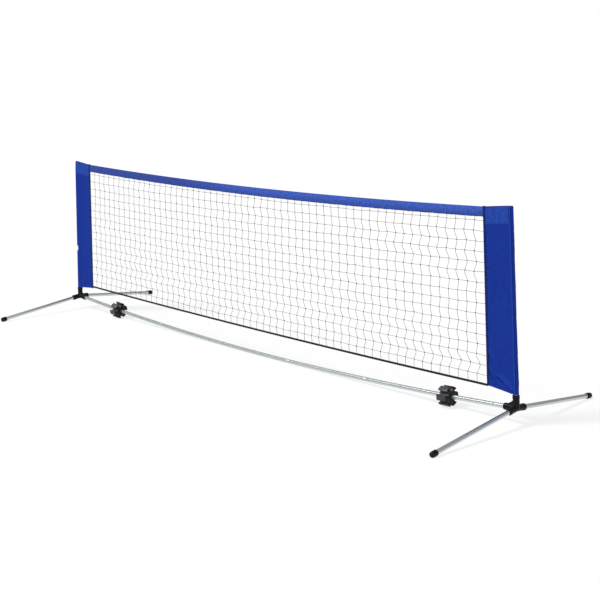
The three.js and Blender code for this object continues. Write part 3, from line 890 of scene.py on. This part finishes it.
def crease(v, w, start, end, width, height):
    """A fold that fades in at its start: a sharp step down, easing off above and below."""
    start, end = np.array(start) * MM, np.array(end) * MM
    run = end - start
    length = np.linalg.norm(run)
    run = run / length
    along = ((v - start[0]) * run[0] + (w - start[1]) * run[1]) / length
    above = (v - start[0]) * run[1] - (w - start[1]) * run[0]
    above = above - 0.1 * length * (0.25 - (along - 0.5) ** 2)
    fade = smooth(-0.15, 0.3, along) * smooth(1.3, 0.9, along)
    return height * fade * np.tanh(above / width) * hump(above, 0, 5.5 * width)


CREASES = {
    "right": [((88, 113), (9, 64), 3.0 * MM, 8.0 * MM), ((60, 80), (24, 58), 2.2 * MM, 1.4 * MM),
              ((131, 150), (107, 90), 2.4 * MM, 3.6 * MM), ((131, 215), (112, 150), 2.6 * MM, 3.0 * MM)],
    "left": [((96, 104), (30, 66), 3.2 * MM, 0.8 * MM), ((126, 150), (98, 88), 3 * MM, 1.0 * MM)],
}


def drape(side, v, w):
    """How far the front layer stands out from its even shape."""
    seed = SEEDS["front", side]
    v, w = np.broadcast_arrays(np.asarray(v, float), np.asarray(w, float))
    from_edge = inner_edge(w) - v
    held = smooth(5 * MM, 34 * MM, v) * smooth(2 * MM, 20 * MM, from_edge)
    y = 1.5 * MM * held * wobbles(v / (70 * MM), w / (170 * MM), seed)
    y += 0.35 * MM * held * wobbles(v / (24 * MM), w / (30 * MM), seed + 1)
    beat = w / (16 * MM) + 1.2 * wobbles(w / (45 * MM), 0, seed + 2)
    pull = 0.55 + 0.45 * wobbles(w / (30 * MM), 1, seed + 3)
    y += 0.9 * MM * pull * hump(from_edge, 11 * MM, 9 * MM) * np.sin(TURN * beat)
    beat = w / (11 * MM) + wobbles(w / (30 * MM), 2, seed + 4)
    y += 0.22 * MM * hump(v, SEAM + 3 * MM, 5 * MM) * np.sin(TURN * beat)
    for start, end, width, height in CREASES[side]:
        folds = crease(v, w, start, end, width, height)
        y += folds * smooth(2 * MM, 9 * MM, v) * smooth(3 * MM, 12 * MM, from_edge)
    top_pull = hump(w, PANEL_TOP[1] - 40 * MM, 40 * MM)
    y += 0.7 * MM * top_pull * held * np.sin(TURN * (v + 0.3 * w) / (34 * MM))
    return y


def panel_top(v):
    share = np.clip((v - TOP_LEVEL_TO) / (PANEL_TOP[0] - TOP_LEVEL_TO), 0, 1)
    return mix(SLEEVE_TOP, PANEL_TOP[1], share)


def panel_bottom(v):
    share = np.clip((v - SEAM) / (PANEL_BOTTOM[0] - SEAM), 0, 1)
    return mix(SLEEVE_BOTTOM, PANEL_BOTTOM[1], share)


def front_of(v):
    """The front layer's even shape: in the net's plane, then sloping to the pocket's front."""
    past = PANEL_FOLD - v
    return math.tan(PANEL_SLOPE) * 0.5 * (past + np.sqrt(past ** 2 + FOLD_EASE ** 2))


def openness(v, w):
    """1 below, and down to 0 along the top edge, where the cloth's layers are sewn together."""
    height = mix(POCKET_CLOSE, 18 * MM, smooth(10 * MM, PANEL_FOLD, v))
    rise = np.clip(1 + (w - panel_top(v)) / height, 0, 1)
    return np.sqrt(np.clip(1 - rise ** 2, 0.002, 1))


def depth_at(side, v, w):
    """How far the front layer stands before the net's plane."""
    return front_of(v) * openness(v, w) + drape(side, v, w)


FRONT_V = POCKET_R * math.cos(FRONT_AT)
FRONT_COLUMNS = 88
POCKET_COLUMNS = 60
BACK_COLUMNS = 8
LAP_COLUMNS = 4
FINE_TO = 0.16  # the share of the height, from the bottom, where rows are closest
FINE_ROWS = 78
COARSE_ROWS = 170
SEAM_AT = (SEAM, front_of(SEAM) - SEAM_GAP)
BACK_AT = TURN + math.atan2(SEAM_AT[1], SEAM_AT[0]) - math.acos(POCKET_R / math.hypot(*SEAM_AT))


def pocket_point(side, angle, w):
    """A point of the pocket round the post, as v and y. The angle runs from inwards to the front."""
    seed = SEEDS["pocket", side]
    slack = 0.9 * MM * wobbles(angle * 0.9, w / (95 * MM), seed)
    slack += 0.35 * MM * wobbles(angle * 2.5, w / (22 * MM), seed + 1)
    calm = smooth(0, 60 * MM, SLEEVE_TOP - w)
    free = smooth(FRONT_AT + 0.6, FRONT_AT + 1.4, angle)
    ridge = 1.3 * MM * hump(angle, RIDGE_AT, 0.15) - 0.7 * MM * hump(angle, RIDGE_AT + 0.4, 0.2)
    r = POCKET_R + np.maximum(slack, -0.4 * MM) * calm * free + ridge * calm
    return r * np.cos(angle), -r * np.sin(angle) * openness(0.0, w)


def panel_rows(side):
    """The panel's middle surface: across the front, round the post and back to the seam."""
    low, high = np.linspace(0, FINE_TO, FINE_ROWS), np.linspace(FINE_TO, 1, COARSE_ROWS)
    heights = np.concatenate([low, high[1:]])[:, None]
    share = np.linspace(0, 1, FRONT_COLUMNS)
    v = mix(inner_edge(SLEEVE_TOP / 2) - 1 * MM, FRONT_V, share)[None]
    for _ in range(2):
        w = mix(panel_bottom(v), panel_top(v), heights)
        v = mix(inner_edge(w) - 1 * MM, FRONT_V, share)
    flat = net_point(side, v, w, -depth_at(side, v, w))
    angle = np.linspace(FRONT_AT, BACK_AT, POCKET_COLUMNS)[None, 1:]
    w = mix(SLEEVE_BOTTOM, SLEEVE_TOP, heights)
    pocket_v, pocket_y = pocket_point(side, angle, w)
    pocket = net_point(side, pocket_v, w, pocket_y)
    seam_y = SEAM_GAP - depth_at(side, SEAM, w)
    slope = np.linspace(0, 1, BACK_COLUMNS)[None, 1:]
    last = net_point(side, mix(pocket_v[:, -1:], SEAM, slope), w, mix(pocket_y[:, -1:], seam_y, slope))
    lap_v = SEAM + np.linspace(0, SEAM_ALLOWANCE, LAP_COLUMNS)[None, 1:]
    lap_w = mix(panel_bottom(lap_v), panel_top(lap_v), heights)
    lap = net_point(side, lap_v, lap_w, SEAM_GAP - depth_at(side, lap_v, lap_w))
    around = np.concatenate([np.linspace(0, FRONT_LENGTH, FRONT_COLUMNS),
                             FRONT_LENGTH + POCKET_R * (angle[0] - FRONT_AT)])
    rest = around[-1] + np.linspace(0, 24 * MM, last.shape[1] + lap.shape[1] + 1)[1:]
    return np.concatenate([flat, pocket, last, lap], 1), np.concatenate([around, rest]), heights[:, 0]


def hem_thickness(rows):
    """Half the cloth's thickness, about double along the bottom and top hems."""
    half = np.full(rows.shape[:2], CLOTH)
    half[:7] = CLOTH * 2.1
    half[-3:] = CLOTH * 1.7
    return half


def add_stitches(form, path, lift, length=2.3 * MM, pitch=3.3 * MM, thick=0.28 * MM):
    """A row of stitches along a path, standing out of the cloth by lift."""
    path = np.asarray(path, float)
    steps = np.linalg.norm(np.diff(path, axis=0), axis=1)
    run = np.concatenate([[0], np.cumsum(steps)])
    starts = np.arange(pitch, run[-1] - pitch, pitch)
    begins, ends = (np.stack([np.interp(at, run, path[:, k]) for k in range(3)], 1)
                    for at in (starts, starts + length))
    for a, b in zip(begins, ends):
        way = (b - a) / np.linalg.norm(b - a)
        out = lift / np.linalg.norm(lift) * thick
        side = np.cross(way, out)
        rings = [[m + out, m + side, m - out, m - side] for m in (mix(a, b, 0.22), mix(a, b, 0.78))]
        points = [a, *rings[0], *rings[1], b]
        faces = [[0, 2, 1], [0, 3, 2], [0, 4, 3], [0, 1, 4]]
        faces += [[1, 2, 6, 5], [2, 3, 7, 6], [3, 4, 8, 7], [4, 1, 5, 8]]
        faces += [[5, 6, 9], [6, 7, 9], [7, 8, 9], [8, 5, 9]]
        form.add(np.array(points) + lift, faces)


FRONT = np.array((0, -1.0, 0))
STITCH_LIFT = 0.5 * MM  # from the cloth's middle surface to a stitch's
HEM = 9 * MM


def panel_line(side, v, w, off=0.0):
    """Points on the panel's face, off to the front by a distance."""
    v, w = np.broadcast_arrays(np.asarray(v, float), np.asarray(w, float))
    return net_point(side, v, w, -depth_at(side, v, w) - off)


def add_panel(side):
    rows, across, heights = panel_rows(side)
    form = Form()
    sheet_form(form, rows, hem_thickness(rows), across, heights * (SLEEVE_TOP - SLEEVE_BOTTOM))
    panel = form.piece(f"panel_{side}_sewn", PANEL, "frame", "panel_cloth", f"panel_{side}")
    pieces = [add_patch(side), add_binding(side), add_seams(side)]
    if side == "left":
        pieces.append(add_label(side))


def add_patch(side):
    """The doubling at the top corner, folded over the top edge. Behind, it stops at the seam."""
    v = np.linspace(PANEL_TOP[0] - BINDING_WIDTH + 3 * MM, PATCH_NEAR, 50)[None]
    gap = 0.85 * MM
    rim = 1.2 * MM  # how far below the top edge its fold begins
    down = np.linspace(PATCH_HEIGHT, rim, 26)[:, None]
    slack = 0.25 * MM * wobbles(v / (13 * MM), down / (13 * MM), SEEDS["patch"])
    w = panel_top(v) - down
    front = net_point(side, v, w, -depth_at(side, v, w) - gap - np.abs(slack))
    whole = v > SEAM + 3 * MM
    over = np.linspace(0, math.pi, 9)[1:-1, None] * np.where(whole, 1.0, 0.6)
    w = panel_top(v) - rim * (1 - np.sin(over))
    fold = net_point(side, v, w + 0.2 * MM * np.sin(over), -depth_at(side, v, w) - gap * np.cos(over))
    w = panel_top(v) - down[::-1]
    share = down[::-1] / PATCH_HEIGHT
    low = np.where(whole, w, panel_top(v) + (0.1 - 0.4 * share) * MM)
    behind = np.where(whole, gap - depth_at(side, v, w), (0.2 + 0.3 * share) * MM)
    back = net_point(side, v, low, behind)
    form = Form()
    sheet_form(form, np.concatenate([front, fold, back]), CLOTH * 0.8)
    return form.piece(f"patch_{side}_sewn", PATCH, "frame", "panel_cloth", f"patch_{side}")


TAPE_PROUD = 1 * MM  # how far the tape stands out past the panel's inner edge
TAPE_WIDTH = BINDING_WIDTH + 1.5 * MM
TAPE_ROWS = 230


def tape_half(w):
    """Half the tape's thickness, greater where it holds the end of the band."""
    band_end = smooth(PANEL_TOP[1] - BAND_HEIGHT - 4 * MM, PANEL_TOP[1] - BAND_HEIGHT, w)
    return 1.25 * MM + 1.0 * MM * band_end


def add_binding(side):
    """Tape folded over the inner edge, running a little past the top and bottom."""
    w = np.linspace(PANEL_BOTTOM[1] - 2 * MM, PANEL_TOP[1] + 2.2 * MM, TAPE_ROWS)[:, None]
    swell = 0.35 * MM * wobbles(w / (9 * MM), 0.0, SEEDS["tape"])
    ragged = 0.5 * MM * wobbles(w / (7 * MM), 0.0, SEEDS["tape"] + 2)
    tape = np.concatenate([np.linspace(TAPE_WIDTH, 1.4 * MM, 6), np.zeros(5),
                           np.linspace(1.4 * MM, TAPE_WIDTH, 6)])[None]
    angle = np.concatenate([np.full(6, math.pi / 2), np.linspace(math.pi / 2, -math.pi / 2, 7)[1:-1],
                            np.full(6, -math.pi / 2)])[None]
    from_edge = np.where(np.abs(angle) < 1.57, 1.4 * MM * (1 - np.cos(angle)), tape)
    pinch = smooth(TAPE_WIDTH * 0.95, TAPE_WIDTH * 0.45, from_edge)
    lift = (tape_half(w) + swell) * mix(0.72, 1.0, pinch) * np.sin(angle)
    v = inner_edge(w) + TAPE_PROUD - from_edge + ragged * smooth(TAPE_WIDTH * 0.5, TAPE_WIDTH, from_edge)
    rows = net_point(side, v, w, -depth_at(side, v, w) - lift)
    form = Form()
    sheet_form(form, rows, CLOTH)
    return form.piece(f"binding_{side}_sewn", BINDING, "frame", "binding_tape", f"binding_{side}")


def add_seams(side):
    """Stitching: the pocket's seam, the bottom hem, the doubling and the tape."""
    form = Form()
    w = np.linspace(SLEEVE_BOTTOM + 3 * MM, SLEEVE_TOP - 3 * MM, 200)
    seam = SEAM + 1.2 * MM
    add_stitches(form, panel_line(side, seam, w[w < SLEEVE_TOP - PATCH_HEIGHT]), FRONT * STITCH_LIFT)
    add_stitches(form, panel_line(side, seam, w, -SEAM_GAP), -FRONT * STITCH_LIFT)
    v = np.linspace(SEAM + 4 * MM, PANEL_BOTTOM[0] - HEM, 60)
    for way in (1, -1):
        add_stitches(form, panel_line(side, v, panel_bottom(v) + HEM), FRONT * way * STITCH_LIFT)
        low = panel_line(side, v, panel_top(v) - PATCH_HEIGHT + 2.5 * MM, way * 0.9 * MM)
        add_stitches(form, low[v < PANEL_TOP[0] - HEM], FRONT * way * 0.6 * MM)
    w = np.linspace(PANEL_BOTTOM[1], PANEL_TOP[1] - 4 * MM, 240)
    for way in (1, -1):
        line = panel_line(side, inner_edge(w, 4.4 * MM), w, way * tape_half(w))
        add_stitches(form, line, FRONT * way * 0.42 * MM)
    return form.piece(f"stitches_{side}", STITCH, "frame", "panel_cloth")


def add_label(side):
    """A small blank tag, sewn to the front of the pocket and following its curve."""
    low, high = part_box("care_label")
    middle = (low.z + high.z) / 2 / math.cos(POST_LEAN) - JUNCTION_HEIGHT
    w = np.linspace(middle - 14 * MM, middle + 14 * MM, 15)[:, None]
    v = np.linspace(6.5 * MM, -2.5 * MM, 11)[None]
    even = np.where(v > FRONT_V, front_of(v), np.sqrt(POCKET_R ** 2 - v ** 2))
    out = 1.4 * MM + 0.5 * MM * hump(w, middle - 14 * MM, 6 * MM)
    form = Form()
    sheet_form(form, net_point(side, v, w, -even - out), 0.16 * MM)
    return form.piece("care_label_sewn", LABEL, "frame", "label_tape", "care_label")


# ---- band ----

BAND_LAP = 5 * MM  # how far the band runs in under the tape
BAND_SWELL = 1.0 * MM
BAND_COLUMNS = 901
BAND_STITCH_LIFT = 3.2 * MM  # from the band's lower edge to its stitching


def band_pucker(x, share, layer):
    """Small upright puckers, strongest at the sewn lower edge."""
    fine = wobbles(x / (9 * MM), share * 0.9, SEEDS["band"] + layer)
    broad = wobbles(x / (37 * MM), share * 0.7, SEEDS["band"] + 2 + layer)
    grip = mix(1.0, 0.45, share)
    return (0.45 * MM * fine + 0.5 * MM * broad) * grip


def add_band():
    reach = EDGE_TOP[0] + BAND_LAP
    x = np.linspace(-reach, reach, BAND_COLUMNS)[:, None]
    ends = smooth(0, 16 * MM, EDGE_TOP[0] - np.abs(x))
    share = np.linspace(0, 0.96, 9)
    over = np.linspace(0, math.pi, 7)[1:-1]
    height = np.concatenate([share, 0.96 + 0.04 * np.sin(over), share[::-1]])[None]
    way = np.concatenate([np.ones(9), np.cos(over), -np.ones(9)])[None]
    layer = np.concatenate([np.zeros(14), np.full(9, 5.0)])[None]
    belly = BAND_SWELL * np.sin(math.pi * np.clip(height, 0, 1)) * ends
    half = mix(1.25 * MM, 0.75 * MM, 1 - ends) + belly * 0.6
    y = -way * half - band_pucker(x, height, layer) * ends * np.sign(way + 1e-9) * np.abs(way)
    edge = 0.5 * MM * wobbles(x / (14 * MM), 0, SEEDS["band"] + 10) * (height < 0.05)
    z = band_top(x) - BAND_HEIGHT * (1 - height) + edge * ends
    form = Form()
    rows = np.stack(np.broadcast_arrays(x, y, z), -1)
    sheet_form(form, rows, CLOTH)
    band = form.piece("top_band_sewn", BAND, "frame", "band_cloth", "top_band")
    line = np.linspace(-EDGE_TOP[0], EDGE_TOP[0], BAND_COLUMNS - 1)
    seams = Form()
    for way, column in ((1, 1), (-1, -2)):
        y = np.interp(line, x[:, 0], rows[:, column, 1])
        low = np.stack([line, y, band_top(line) - BAND_HEIGHT + BAND_STITCH_LIFT], 1)
        add_stitches(seams, low, FRONT * way * STITCH_LIFT, pitch=3.6 * MM)
    seam = seams.piece("stitches_band", STITCH, "frame", "band_cloth")
    return band, seam


# ---- netting and bottom cord ----

MESH_ROWS = 16
MESH_GAPS = 59  # from one panel to the other
FIRST_ROW = 766.8 * MM  # height of the top row of knots at mid-span
ROW_STEP = 40.1 * MM
THREAD_R = 0.8 * MM
STRAND_TURN = 16 * MM  # along the cord, for one turn of a strand
CORD_COLUMNS = 1400
KNOT = np.array((2.5, 1.9, 2.6)) * MM
NET_SEED = 81.0
random.seed(7)


def row_height(x, row):
    """A row of knots follows the band's sag near the top and the cord's near the bottom."""
    band_middle, cord_middle = band_top(0) - BAND_HEIGHT, cord_height(0)
    share = (FIRST_ROW - row * ROW_STEP - cord_middle) / (band_middle - cord_middle)
    return mix(cord_height(x), band_top(x) - BAND_HEIGHT, share)


def sway(row, column):
    """How far a knot is pulled sideways. Rows alternate, and the pull grows towards the bottom."""
    depth = row / (MESH_ROWS - 1)
    size = mix(3.2, 7.2, depth ** 1.6) * (0.75 + 0.5 * wobble(column * 0.07, row * 0.45, NET_SEED))
    drift = 2.6 * wobble(column * 0.11, row * 0.9, NET_SEED + 2)
    drift += 0.9 * wobble(column * 1.7, row * 1.3, NET_SEED + 4)
    return (size * (-1) ** row + drift) * MM


def knot_places():
    places = np.zeros((MESH_ROWS, MESH_GAPS + 1, 3))
    for row in range(MESH_ROWS):
        for column in range(MESH_GAPS + 1):
            share = 2 * column / MESH_GAPS - 1
            z = row_height(share * EDGE_TOP[0], row)
            x = share * (half_width(z) + 3 * MM)
            inside = 0 < column < MESH_GAPS
            z += (1.3 if inside else 2.6) * MM * wobble(column * 1.3, row * 1.9, NET_SEED + 6)
            x += sway(row, column) if inside else 0
            y = 2.0 * MM * wobble(column * 0.21, row * 0.23, NET_SEED + 8) if inside else 0
            places[row, column] = (x, y, z)
    return places


def hermite(a, b, leave, arrive, steps):
    """Points from a to b, leaving and arriving in the given directions, without b itself."""
    t = np.linspace(0, 1, steps + 1)[:-1, None]
    return ((2 * t ** 3 - 3 * t ** 2 + 1) * a + (t ** 3 - 2 * t ** 2 + t) * leave
            + (3 * t ** 2 - 2 * t ** 3) * b + (t ** 3 - t ** 2) * arrive)


def upright_thread(places, column):
    """From the band down through every row of knots to the cord."""
    knots = places[:, column]
    top = knots[0].copy()
    top[2] = band_top(top[0]) - BAND_HEIGHT + 5 * MM
    top[0] += 2.5 * MM * wobble(column * 1.1, 0, NET_SEED + 10)
    foot = knots[-1].copy()
    foot[0] += mix(-2, 5, random.random()) * MM
    foot[1], foot[2] = 0, cord_height(foot[0]) + 1.5 * MM
    stops = [top, *knots, foot]
    path = []
    for i, (a, b) in enumerate(zip(stops, stops[1:])):
        drop = np.linalg.norm(b - a)
        depth = i / MESH_ROWS
        lean = (a[0] - b[0]) * (0.9 + 0.5 * random.random()) + mix(-1, 1, random.random()) * 2 * MM
        leave = np.array((mix(0.6, 1.5, depth) * lean, 0, -drop))
        arrive = np.array((0.35 * (b[0] - a[0]), 0, -drop * 1.05))
        path.append(hermite(a, b, leave, arrive, 5))
    return np.concatenate([*path, [stops[-1]]])


def level_thread(places, row):
    """From one panel to the other through a row of knots."""
    knots = places[row]
    path = []
    for a, b in zip(knots, knots[1:]):
        slack = np.array((0, 0, mix(1.0, 4.0, random.random()) * MM))
        path.append(hermite(a, b, (b - a) - slack, (b - a) + slack, 3))
    return np.concatenate([*path, [knots[-1]]])


def knot_form():
    """A small knot, with the thread's wraps as slanting ridges."""
    rings = [[0, 0, KNOT[2]]]
    for tilt in np.linspace(0, math.pi, 7)[1:-1]:
        for turn in np.arange(8) * TURN / 8:
            ridge = 1 + 0.16 * math.cos(2 * turn + 3 * tilt)
            rings.append([KNOT[0] * math.sin(tilt) * math.cos(turn) * ridge,
                          KNOT[1] * math.sin(tilt) * math.sin(turn) * ridge,
                          KNOT[2] * math.cos(tilt)])
    rings.append([0, 0, -KNOT[2]])
    faces = [[0, 1 + j, 1 + (j + 1) % 8] for j in range(8)]
    for i in range(4):
        for j in range(8):
            k = (j + 1) % 8
            faces.append([1 + i * 8 + j, 9 + i * 8 + j, 9 + i * 8 + k, 1 + i * 8 + k])
    faces += [[41, 33 + (j + 1) % 8, 33 + j] for j in range(8)]
    return np.array(rings), faces


def add_netting():
    places = knot_places()
    form = Form()
    for column in range(1, MESH_GAPS):
        sweep(form, upright_thread(places, column), THREAD_R)
    for row in range(MESH_ROWS):
        sweep(form, level_thread(places, row), THREAD_R)
    shape, faces = knot_form()
    flat = [[tuple(shape[i][:2]) for i in face] for face in faces]
    for place in places[:, 1:-1].reshape(-1, 3):
        turn = random.uniform(-0.7, 0.7)
        along, across = math.cos(turn), math.sin(turn)
        twist = np.array(((along, 0, across), (0, 1, 0), (-across, 0, along)))
        form.add(shape @ twist * random.uniform(0.85, 1.15) + place, faces, flat)
    return form.piece("netting_knotted", THREAD, "frame", "net_thread", "netting")


def add_cord():
    """A braided cord: its strands show as shallow diamonds."""
    reach = half_width(CORD_END_HEIGHT) + 3 * MM
    x = np.linspace(-reach, reach, CORD_COLUMNS)
    path = np.stack([x, 0.4 * MM * wobbles(x / (60 * MM), 0, SEEDS["cord"]), cord_height(x)], 1)
    sides = 18
    angle = np.arange(sides) * TURN / sides
    slant = TURN * (x - x[0])[:, None] / STRAND_TURN
    braid = np.cos(4 * angle + slant) * np.cos(4 * angle - slant)
    radius = CORD_R - 0.25 * MM + 0.22 * MM * braid
    rows = path[:, None] + np.stack([0 * radius, radius * np.cos(angle), radius * np.sin(angle)], -1)
    form = Form()
    form.grid(rows, closed=True, ends=True)
    return form.piece("bottom_cord_braided", CORD, "frame", "cord", "bottom_cord")


for end in SIDES:
    add_panel(end)
add_cord()
netting = add_netting()
band, band_seam = add_band()

# ---- floor and light ----

FLOOR_SIZE = 60
FLOOR_COLOUR = (0.17, 0.17, 0.171, 1)
FLOOR_LIFT = 0.765  # light that the floor gives off itself, so that shadows on it stay faint
WORLD_STRENGTH = 0.54
HORIZON = ((0.0, 0.85), (0.06, 0.34), (0.16, 0.34), (0.30, 0.85), (1.0, 1.0))  # (sine of height, shade)
WHITE = (1, 1, 1, 1)


def add_stage():
    mesh = bpy.data.meshes.new("floor")
    corners = [(x * FLOOR_SIZE, y * FLOOR_SIZE, 0) for x, y in ((-1, -1), (1, -1), (1, 1), (-1, 1))]
    mesh.from_pydata(corners, [], [(0, 1, 2, 3)])
    look = Look("studio_floor", Specular_IOR_Level=0.05, Roughness=0.9)
    look.shader.inputs["Base Color"].default_value = FLOOR_COLOUR
    look.shader.inputs["Emission Color"].default_value = WHITE
    lifted = look.sums("SUBTRACT", 1.0, look.node("LightPath").outputs["Is Diffuse Ray"])
    look.put(look.sums("MULTIPLY", lifted, FLOOR_LIFT), look.shader.inputs["Emission Strength"])
    mesh.materials.append(look.material)
    floor = bpy.data.objects.new("floor", mesh)
    bpy.context.scene.collection.objects.link(floor)


def add_sun(name, heading, height, width, strength):
    """A soft light from a heading, from -Y towards -X, and a height, both in degrees."""
    light = bpy.data.lights.new(name, "SUN")
    light.angle = math.radians(width)
    light.energy = strength
    lamp = bpy.data.objects.new(name, light)
    turn, rise = math.radians(heading), math.radians(height)
    way = Vector((-math.sin(turn) * math.cos(rise), -math.cos(turn) * math.cos(rise), math.sin(rise)))
    lamp.location = way * 6
    lamp.rotation_euler = way.to_track_quat("Z", "Y").to_euler()
    bpy.context.scene.collection.objects.link(lamp)


def add_world():
    """A white room to look at. What lights the net has a darker horizon, for the steel to reflect."""
    world = bpy.data.worlds.new("studio")
    world.use_nodes = True
    nodes, links = world.node_tree.nodes, world.node_tree.links
    lighting = nodes["Background"]
    lighting.inputs["Strength"].default_value = WORLD_STRENGTH
    place = nodes.new("ShaderNodeTexCoord")
    height = nodes.new("ShaderNodeSeparateXYZ")
    links.new(place.outputs["Generated"], height.inputs[0])
    ramp = nodes.new("ShaderNodeValToRGB")
    links.new(height.outputs["Z"], ramp.inputs["Fac"])
    links.new(ramp.outputs["Color"], lighting.inputs["Color"])
    set_stops(ramp, [(rise, (shade, shade, shade * 1.01)) for rise, shade in HORIZON])
    seen = nodes.new("ShaderNodeBackground")
    seen.inputs["Color"].default_value = WHITE
    path = nodes.new("ShaderNodeLightPath")
    both = nodes.new("ShaderNodeMixShader")
    links.new(path.outputs["Is Camera Ray"], both.inputs[0])
    links.new(lighting.outputs[0], both.inputs[1])
    links.new(seen.outputs[0], both.inputs[2])
    links.new(both.outputs[0], nodes["World Output"].inputs["Surface"])
    bpy.context.scene.world = world


add_stage()
add_world()
add_sun("key", heading=40, height=50, width=16, strength=3.1)
add_sun("fill", heading=-65, height=25, width=50, strength=1.6)
